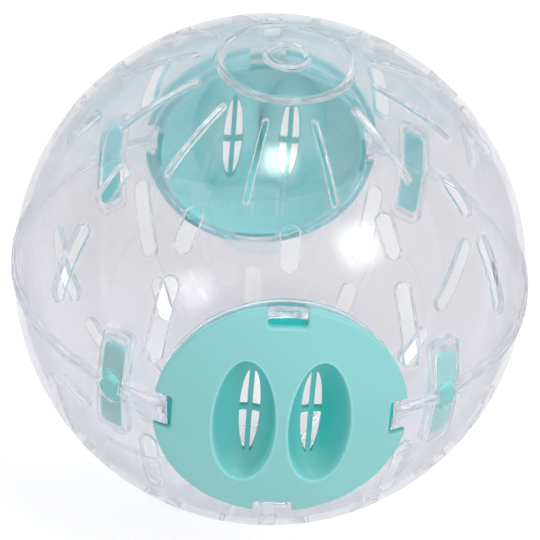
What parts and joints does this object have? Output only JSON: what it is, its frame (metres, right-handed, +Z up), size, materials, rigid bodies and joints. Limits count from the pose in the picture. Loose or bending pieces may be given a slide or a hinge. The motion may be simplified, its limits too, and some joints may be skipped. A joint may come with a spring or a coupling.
{
  "type": "hamster exercise ball",
  "caption": "Clear hollow ball in which a dwarf hamster runs: hemispheres joined at a seam, domed pull-off doors, slide latches and rows of air slots.",
  "frame": {"origin": "the ball's centre, on the seam plane and on the axis of both doors", "axes": "+Z up through the upper pole, -Y out through the front door, +X to the right as seen from the front"},
  "size_m": [0.1466, 0.1496, 0.1472],
  "materials": {
    "clear_plastic": "clear polished moulding",
    "teal_plastic": "satin moulding"
  },
  "bodies": {
    "ball": {"upper_shell": "clear_plastic", "lower_shell": "clear_plastic"},
    "front_door": {"front_door": "teal_plastic"},
    "rear_door": {"rear_door": "teal_plastic"},
    "latch_front_left": {"latch_front_left": "teal_plastic"},
    "latch_front_right": {"latch_front_right": "teal_plastic"},
    "latch_rear_left": {"latch_rear_left": "teal_plastic"},
    "latch_rear_right": {"latch_rear_right": "teal_plastic"}
  },
  "joints": [
    {"name": "front_door_pull", "type": "slide", "parent": "ball", "child": "front_door", "axis": [0, -1, 0], "range_m": [0, 0.045]},
    {"name": "rear_door_pull", "type": "slide", "parent": "ball", "child": "rear_door", "axis": [0, 1, 0], "range_m": [0, 0.045]},
    {"name": "latch_front_left_slide", "type": "hinge", "parent": "ball", "child": "latch_front_left", "pos_m": [0, 0, 0], "axis": [-0.766, 0.6428, 0], "range_deg": [-1, 1.8]},
    {"name": "latch_front_right_slide", "type": "hinge", "parent": "ball", "child": "latch_front_right", "pos_m": [0, 0, 0], "axis": [-0.766, -0.6428, 0], "range_deg": [-1, 1.8]},
    {"name": "latch_rear_left_slide", "type": "hinge", "parent": "ball", "child": "latch_rear_left", "pos_m": [0, 0, 0], "axis": [0.766, 0.6428, 0], "range_deg": [-1, 1.8]},
    {"name": "latch_rear_right_slide", "type": "hinge", "parent": "ball", "child": "latch_rear_right", "pos_m": [0, 0, 0], "axis": [0.766, -0.6428, 0], "range_deg": [-1, 1.8]}
  ]
}
